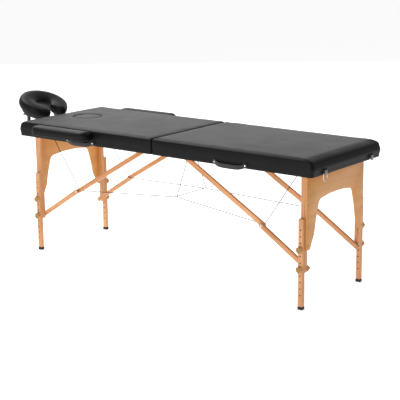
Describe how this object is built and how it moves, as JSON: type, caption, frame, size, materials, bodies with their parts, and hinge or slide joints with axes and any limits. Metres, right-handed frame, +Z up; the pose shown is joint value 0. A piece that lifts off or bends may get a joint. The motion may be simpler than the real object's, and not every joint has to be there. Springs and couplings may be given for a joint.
{
  "type": "portable massage table",
  "caption": "Two-part folding padded massage table on height-adjustable wooden legs with arched end panels, folding braces, cables, armrests and a tilting face cradle.",
  "frame": {"origin": "on the floor, under the middle of the whole table from the face cradle's far edge to the latches", "axes": "+X along the table from its head end to its foot end, +Y across it from the carrying-strap side, +Z up"},
  "size_m": [2.11, 0.767, 0.822],
  "materials": {
    "beech": "clear varnished",
    "plywood": "clear varnished",
    "deck_board": "raw board",
    "knob_wood": "clear varnished",
    "leather": "fine grain upholstery, satin",
    "foam": "open-cell foam",
    "webbing": "woven strap",
    "black_plastic": "matte",
    "rubber": "matte",
    "steel": "plain",
    "chrome": "polished",
    "aluminium": "satin"
  },
  "bodies": {
    "head_half": {"head_frame": "beech", "head_deck": "deck_board", "head_foam": "foam", "head_cover": "leather", "head_handle": "webbing", "head_hinge_leaf": "steel", "head_cable": "steel", "latch_strike_front": "chrome", "latch_strike_back": "chrome"},
    "foot_half": {"foot_frame": "beech", "foot_deck": "deck_board", "foot_foam": "foam", "foot_cover": "leather", "foot_handle": "webbing", "foot_hinge_leaf": "steel", "foot_cable": "steel", "latch_base_front": "black_plastic", "latch_base_back": "black_plastic"},
    "hinge_pin": {"hinge_pin": "steel"},
    "head_leg_frame": {"head_front_leg": "beech", "head_back_leg": "beech", "head_end_panel": "plywood"},
    "head_front_extension": {"head_front_extension": "beech", "head_front_rubber_foot": "rubber"},
    "head_front_upper_knob": {"head_front_upper_knob": "knob_wood"},
    "head_front_lower_knob": {"head_front_lower_knob": "knob_wood"},
    "head_front_upper_brace": {"head_front_upper_brace": "beech"},
    "head_front_lower_brace": {"head_front_lower_brace": "beech"},
    "head_back_extension": {"head_back_extension": "beech", "head_back_rubber_foot": "rubber"},
    "head_back_upper_knob": {"head_back_upper_knob": "knob_wood"},
    "head_back_lower_knob": {"head_back_lower_knob": "knob_wood"},
    "head_back_upper_brace": {"head_back_upper_brace": "beech"},
    "head_back_lower_brace": {"head_back_lower_brace": "beech"},
    "foot_leg_frame": {"foot_front_leg": "beech", "foot_back_leg": "beech", "foot_end_panel": "plywood"},
    "foot_front_extension": {"foot_front_extension": "beech", "foot_front_rubber_foot": "rubber"},
    "foot_front_upper_knob": {"foot_front_upper_knob": "knob_wood"},
    "foot_front_lower_knob": {"foot_front_lower_knob": "knob_wood"},
    "foot_front_upper_brace": {"foot_front_upper_brace": "beech"},
    "foot_front_lower_brace": {"foot_front_lower_brace": "beech"},
    "foot_back_extension": {"foot_back_extension": "beech", "foot_back_rubber_foot": "rubber"},
    "foot_back_upper_knob": {"foot_back_upper_knob": "knob_wood"},
    "foot_back_lower_knob": {"foot_back_lower_knob": "knob_wood"},
    "foot_back_upper_brace": {"foot_back_upper_brace": "beech"},
    "foot_back_lower_brace": {"foot_back_lower_brace": "beech"},
    "latch_lever_front": {"latch_lever_front": "chrome"},
    "latch_loop_front": {"latch_loop_front": "chrome"},
    "armrest_front": {"armrest_front": "leather"},
    "latch_lever_back": {"latch_lever_back": "chrome"},
    "latch_loop_back": {"latch_loop_back": "chrome"},
    "armrest_back": {"armrest_back": "leather"},
    "face_hole_plug": {"face_hole_plug": "leather"},
    "headrest_base": {"headrest_base": "aluminium"},
    "headrest_cradle": {"headrest_platform": "plywood", "headrest_cushion": "leather"},
    "headrest_lever": {"headrest_lever": "aluminium"}
  },
  "joints": [
    {"name": "fold_head_side", "type": "hinge", "parent": "head_half", "child": "hinge_pin", "pos_m": [0.1178, 0, 0.63], "axis": [0, 1, 0], "range_deg": [0, 90], "deforming": ["head_cable", "foot_cable"]},
    {"name": "fold_foot_side", "type": "hinge", "parent": "hinge_pin", "child": "foot_half", "pos_m": [0.1178, 0, 0.63], "axis": [0, 1, 0], "range_deg": [0, 90], "deforming": ["head_handle", "foot_handle"]},
    {"name": "head_leg_fold", "type": "hinge", "parent": "head_half", "child": "head_leg_frame", "pos_m": [-0.7282, 0, 0.6535], "axis": [0, -1, 0], "range_deg": [0, 90]},
    {"name": "head_front_height", "type": "slide", "parent": "head_leg_frame", "child": "head_front_extension", "axis": [0, 0, 1], "range_m": [-0.093, 0.124]},
    {"name": "head_front_upper_knob_turn", "type": "hinge", "parent": "head_leg_frame", "child": "head_front_upper_knob", "pos_m": [-0.7282, -0.278, 0.286], "axis": [0, -1, 0], "continuous": true},
    {"name": "head_front_lower_knob_turn", "type": "hinge", "parent": "head_leg_frame", "child": "head_front_lower_knob", "pos_m": [-0.7282, -0.278, 0.193], "axis": [0, -1, 0], "continuous": true},
    {"name": "head_front_upper_brace_fold", "type": "hinge", "parent": "head_half", "child": "head_front_upper_brace", "pos_m": [0.0378, -0.20675, 0.6535], "axis": [0, 1, 0], "range_deg": [0, 31.23]},
    {"name": "head_front_lower_brace_fold", "type": "hinge", "parent": "head_leg_frame", "child": "head_front_lower_brace", "pos_m": [-0.7282, -0.22175, 0.193], "axis": [0, -1, 0], "range_deg": [0, 56.44]},
    {"name": "head_back_height", "type": "slide", "parent": "head_leg_frame", "child": "head_back_extension", "axis": [0, 0, 1], "range_m": [-0.093, 0.124]},
    {"name": "head_back_upper_knob_turn", "type": "hinge", "parent": "head_leg_frame", "child": "head_back_upper_knob", "pos_m": [-0.7282, 0.278, 0.286], "axis": [0, 1, 0], "continuous": true},
    {"name": "head_back_lower_knob_turn", "type": "hinge", "parent": "head_leg_frame", "child": "head_back_lower_knob", "pos_m": [-0.7282, 0.278, 0.193], "axis": [0, 1, 0], "continuous": true},
    {"name": "head_back_upper_brace_fold", "type": "hinge", "parent": "head_half", "child": "head_back_upper_brace", "pos_m": [0.0378, 0.20675, 0.6535], "axis": [0, 1, 0], "range_deg": [0, 31.23]},
    {"name": "head_back_lower_brace_fold", "type": "hinge", "parent": "head_leg_frame", "child": "head_back_lower_brace", "pos_m": [-0.7282, 0.22175, 0.193], "axis": [0, -1, 0], "range_deg": [0, 56.44]},
    {"name": "foot_leg_fold", "type": "hinge", "parent": "foot_half", "child": "foot_leg_frame", "pos_m": [0.9638, 0, 0.6535], "axis": [0, 1, 0], "range_deg": [0, 90]},
    {"name": "foot_front_height", "type": "slide", "parent": "foot_leg_frame", "child": "foot_front_extension", "axis": [0, 0, 1], "range_m": [-0.093, 0.124]},
    {"name": "foot_front_upper_knob_turn", "type": "hinge", "parent": "foot_leg_frame", "child": "foot_front_upper_knob", "pos_m": [0.9638, -0.278, 0.286], "axis": [0, -1, 0], "continuous": true},
    {"name": "foot_front_lower_knob_turn", "type": "hinge", "parent": "foot_leg_frame", "child": "foot_front_lower_knob", "pos_m": [0.9638, -0.278, 0.193], "axis": [0, -1, 0], "continuous": true},
    {"name": "foot_front_upper_brace_fold", "type": "hinge", "parent": "foot_half", "child": "foot_front_upper_brace", "pos_m": [0.1978, -0.20675, 0.6535], "axis": [0, -1, 0], "range_deg": [0, 31.23]},
    {"name": "foot_front_lower_brace_fold", "type": "hinge", "parent": "foot_leg_frame", "child": "foot_front_lower_brace", "pos_m": [0.9638, -0.22175, 0.193], "axis": [0, 1, 0], "range_deg": [0, 56.44]},
    {"name": "foot_back_height", "type": "slide", "parent": "foot_leg_frame", "child": "foot_back_extension", "axis": [0, 0, 1], "range_m": [-0.093, 0.124]},
    {"name": "foot_back_upper_knob_turn", "type": "hinge", "parent": "foot_leg_frame", "child": "foot_back_upper_knob", "pos_m": [0.9638, 0.278, 0.286], "axis": [0, 1, 0], "continuous": true},
    {"name": "foot_back_lower_knob_turn", "type": "hinge", "parent": "foot_leg_frame", "child": "foot_back_lower_knob", "pos_m": [0.9638, 0.278, 0.193], "axis": [0, 1, 0], "continuous": true},
    {"name": "foot_back_upper_brace_fold", "type": "hinge", "parent": "foot_half", "child": "foot_back_upper_brace", "pos_m": [0.1978, 0.20675, 0.6535], "axis": [0, -1, 0], "range_deg": [0, 31.23]},
    {"name": "foot_back_lower_brace_fold", "type": "hinge", "parent": "foot_leg_frame", "child": "foot_back_lower_brace", "pos_m": [0.9638, 0.22175, 0.193], "axis": [0, 1, 0], "range_deg": [0, 56.44]},
    {"name": "latch_lever_front_turn", "type": "hinge", "parent": "foot_half", "child": "latch_lever_front", "pos_m": [1.0503, -0.205, 0.655], "axis": [0, -1, 0], "range_deg": [0, 100]},
    {"name": "latch_loop_front_swing", "type": "hinge", "parent": "latch_lever_front", "child": "latch_loop_front", "pos_m": [1.05, -0.205, 0.644], "axis": [0, -1, 0], "range_deg": [-6, 75]},
    {"name": "armrest_front_pull", "type": "slide", "parent": "head_half", "child": "armrest_front", "axis": [0, -1, 0], "range_m": [0, 0.03]},
    {"name": "latch_lever_back_turn", "type": "hinge", "parent": "foot_half", "child": "latch_lever_back", "pos_m": [1.0503, 0.205, 0.655], "axis": [0, -1, 0], "range_deg": [0, 100]},
    {"name": "latch_loop_back_swing", "type": "hinge", "parent": "latch_lever_back", "child": "latch_loop_back", "pos_m": [1.05, 0.205, 0.644], "axis": [0, -1, 0], "range_deg": [-6, 75]},
    {"name": "armrest_back_pull", "type": "slide", "parent": "head_half", "child": "armrest_back", "axis": [0, 1, 0], "range_m": [0, 0.03]},
    {"name": "face_hole_plug_lift", "type": "slide", "parent": "head_half", "child": "face_hole_plug", "axis": [0, 0, 1], "range_m": [0, 0.06]},
    {"name": "headrest_slide", "type": "slide", "parent": "head_half", "child": "headrest_base", "axis": [-1, 0, 0], "range_m": [0, 0.12]},
    {"name": "headrest_tilt", "type": "hinge", "parent": "headrest_base", "child": "headrest_cradle", "pos_m": [-0.9822, 0, 0.703], "axis": [0, -1, 0], "range_deg": [0, 40]},
    {"name": "headrest_lever_turn", "type": "hinge", "parent": "headrest_base", "child": "headrest_lever", "pos_m": [-0.9822, 0, 0.703], "axis": [0, -1, 0], "range_deg": [0, 90]}
  ],
  "couplings": [
    {"joint": "head_leg_fold", "follows": "fold_head_side", "ratio": 1},
    {"joint": "head_front_upper_brace_fold", "follows": "fold_head_side", "ratio": 0.34688},
    {"joint": "head_front_lower_brace_fold", "follows": "fold_head_side", "ratio": 0.62698},
    {"joint": "head_back_upper_brace_fold", "follows": "fold_head_side", "ratio": 0.34688},
    {"joint": "head_back_lower_brace_fold", "follows": "fold_head_side", "ratio": 0.62698},
    {"joint": "foot_leg_fold", "follows": "fold_head_side", "ratio": 1},
    {"joint": "foot_front_upper_brace_fold", "follows": "fold_head_side", "ratio": 0.34688},
    {"joint": "foot_front_lower_brace_fold", "follows": "fold_head_side", "ratio": 0.62698},
    {"joint": "foot_back_upper_brace_fold", "follows": "fold_head_side", "ratio": 0.34688},
    {"joint": "foot_back_lower_brace_fold", "follows": "fold_head_side", "ratio": 0.62698}
  ]
}
